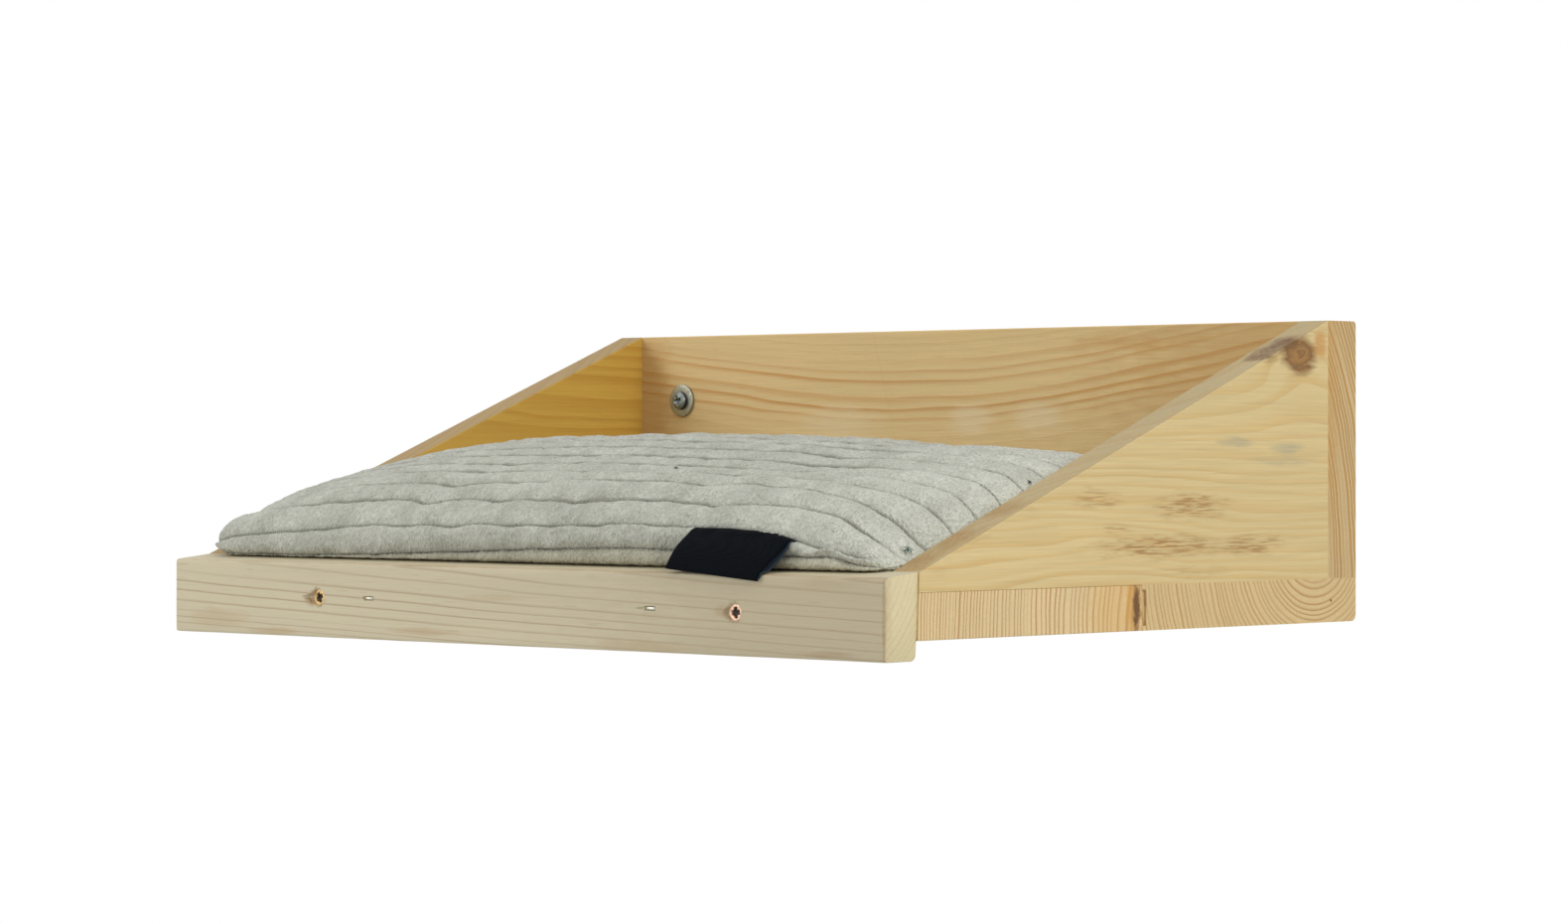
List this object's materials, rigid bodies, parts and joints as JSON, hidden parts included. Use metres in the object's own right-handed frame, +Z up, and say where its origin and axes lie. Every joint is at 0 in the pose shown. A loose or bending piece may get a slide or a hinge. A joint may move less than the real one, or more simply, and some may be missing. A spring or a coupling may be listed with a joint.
{
  "type": "cat wall shelf",
  "caption": "Wall-hung wooden cat shelf with a back board, sloping side panels, a front rail and a loose channel-quilted cushion.",
  "frame": {"origin": "on the wall's face, midway between the two wall screws", "axes": "+X to the right as seen from the room, +Y into the wall, +Z up"},
  "size_m": [0.5, 0.3809, 0.157],
  "materials": {
    "washed_wood": "matte",
    "pine": "satin",
    "zinc": "satin",
    "yellow_zinc": "satin",
    "staple_steel": "satin",
    "plush": "matte",
    "filling": "matte",
    "label_tape": "satin"
  },
  "bodies": {
    "shelf": {"base_front_plank": "pine", "base_rear_plank": "pine", "back_board": "pine", "left_side_panel": "pine", "right_side_panel": "pine", "front_rail": "washed_wood", "front_rail_screw_left": "yellow_zinc", "front_rail_screw_right": "yellow_zinc", "front_rail_staple_left": "staple_steel", "front_rail_staple_right": "staple_steel", "wall_screw_left": "zinc", "wall_screw_right": "zinc", "wall_washer_left": "zinc", "wall_washer_right": "zinc", "base_to_left_side_screws": "yellow_zinc", "base_to_right_side_screws": "yellow_zinc", "base_to_back_screws": "yellow_zinc", "back_to_left_side_screws": "yellow_zinc", "back_to_right_side_screws": "yellow_zinc"},
    "cushion": {"cushion_top_panel": "plush", "cushion_bottom_panel": "plush", "cushion_filling": "filling", "cushion_label": "label_tape"}
  },
  "joints": [
    {"name": "cushion_lift", "type": "slide", "parent": "shelf", "child": "cushion", "axis": [0, 0, 1], "range_m": [0, 0.2]}
  ]
}
